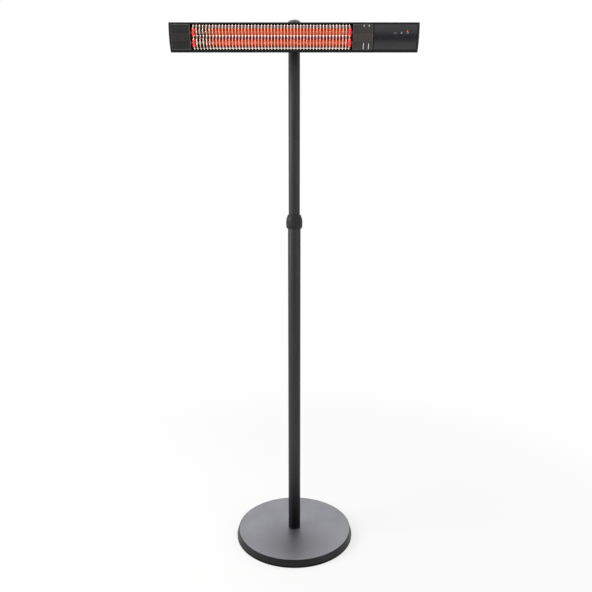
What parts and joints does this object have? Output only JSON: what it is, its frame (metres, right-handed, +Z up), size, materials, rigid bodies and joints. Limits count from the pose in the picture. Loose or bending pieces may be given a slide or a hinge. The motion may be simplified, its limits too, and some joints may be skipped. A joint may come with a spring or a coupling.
{
  "type": "infrared patio heater tower",
  "caption": "Free-standing infrared patio heater: round weighted base, telescopic mast with twist-lock collar, and a long tilting head with twin lamps behind a wire grille.",
  "frame": {"origin": "on the floor under the base, on the mast's axis", "axes": "+Z up the mast, the heater's glowing face looks along -Y, the control panel is on the +X side"},
  "size_m": [0.872, 0.4848, 2.0495],
  "materials": {
    "black_coat": "satin",
    "grey_coat": "satin",
    "rim_plastic": "satin",
    "black_rubber": "matte",
    "cast_weight": "rough",
    "zinc_steel": "satin",
    "chrome_wire": "polished",
    "polished_sheet": "polished",
    "quartz": "clear",
    "glowing_carbon": "matte",
    "white_ceramic": "matte",
    "black_plastic": "satin",
    "panel_gloss": "gloss",
    "cap_grey": "satin",
    "key_lens": "gloss",
    "red_light": "gloss",
    "board_green": "satin",
    "brass": "satin",
    "friction_fibre": "matte",
    "lead_silicone": "matte"
  },
  "bodies": {
    "stand": {"foot_ring": "black_rubber", "base_rim": "rim_plastic", "base_weight": "cast_weight", "base_top_plate": "grey_coat", "base_bottom_cover": "rim_plastic", "bottom_cover_screws": "zinc_steel", "rim_screws": "zinc_steel", "mast_washer": "zinc_steel", "mast_bolt": "zinc_steel", "mast_foot_insert": "zinc_steel", "lower_tube": "black_coat", "collar_sleeve": "black_plastic", "collar_collet": "black_plastic"},
    "lock_nut": {"lock_nut": "black_plastic"},
    "upper_mast": {"upper_tube": "black_coat", "guide_bush": "black_plastic", "mast_head_fitting": "black_coat", "mast_top_cap": "cap_grey", "fitting_set_screws": "zinc_steel", "friction_washers": "friction_fibre", "pivot_washers": "zinc_steel", "pivot_bolt": "zinc_steel"},
    "tilt_knob": {"tilt_knob": "black_plastic", "knob_insert": "brass"},
    "head": {"head_bracket": "black_coat", "nut_plate": "zinc_steel", "bracket_screws": "zinc_steel", "head_housing": "black_coat", "left_end_cap": "black_plastic", "right_end_cap": "black_plastic", "end_gaskets": "black_rubber", "end_cap_screws": "zinc_steel", "upper_reflector": "polished_sheet", "lower_reflector": "polished_sheet", "left_reflector_end": "polished_sheet", "right_reflector_end": "polished_sheet", "upper_lamp_tube": "quartz", "lower_lamp_tube": "quartz", "upper_filament": "glowing_carbon", "lower_filament": "glowing_carbon", "lamp_caps": "white_ceramic", "left_lamp_holder": "zinc_steel", "right_lamp_holder": "zinc_steel", "heat_shield": "polished_sheet", "front_grille": "chrome_wire", "left_terminal_cover": "black_plastic", "right_terminal_cover": "black_plastic", "cover_clips": "chrome_wire", "control_panel": "panel_gloss", "key_lenses": "key_lens", "status_light": "red_light", "control_board": "board_green", "board_screws": "zinc_steel", "terminal_block": "white_ceramic", "tip_over_switch": "black_plastic", "lamp_leads": "lead_silicone", "gland_body": "black_plastic", "gland_nut": "black_plastic", "gland_seal": "black_rubber", "gland_lock_nut": "black_plastic"}
  },
  "joints": [
    {"name": "collar_twist", "type": "hinge", "parent": "stand", "child": "lock_nut", "pos_m": [0, 0, 1.3185], "axis": [0, 0, 1], "range_deg": [0, 90]},
    {"name": "mast_slide", "type": "slide", "parent": "stand", "child": "upper_mast", "axis": [0, 0, 1], "range_m": [-0.5, 0]},
    {"name": "head_tilt", "type": "hinge", "parent": "upper_mast", "child": "head", "pos_m": [0, -0.036, 1.976], "axis": [1, 0, 0], "range_deg": [-14.5, 30.5]},
    {"name": "knob_turn", "type": "hinge", "parent": "upper_mast", "child": "tilt_knob", "pos_m": [0, -0.036, 1.976], "axis": [1, 0, 0], "range_deg": [0, 360]}
  ]
}
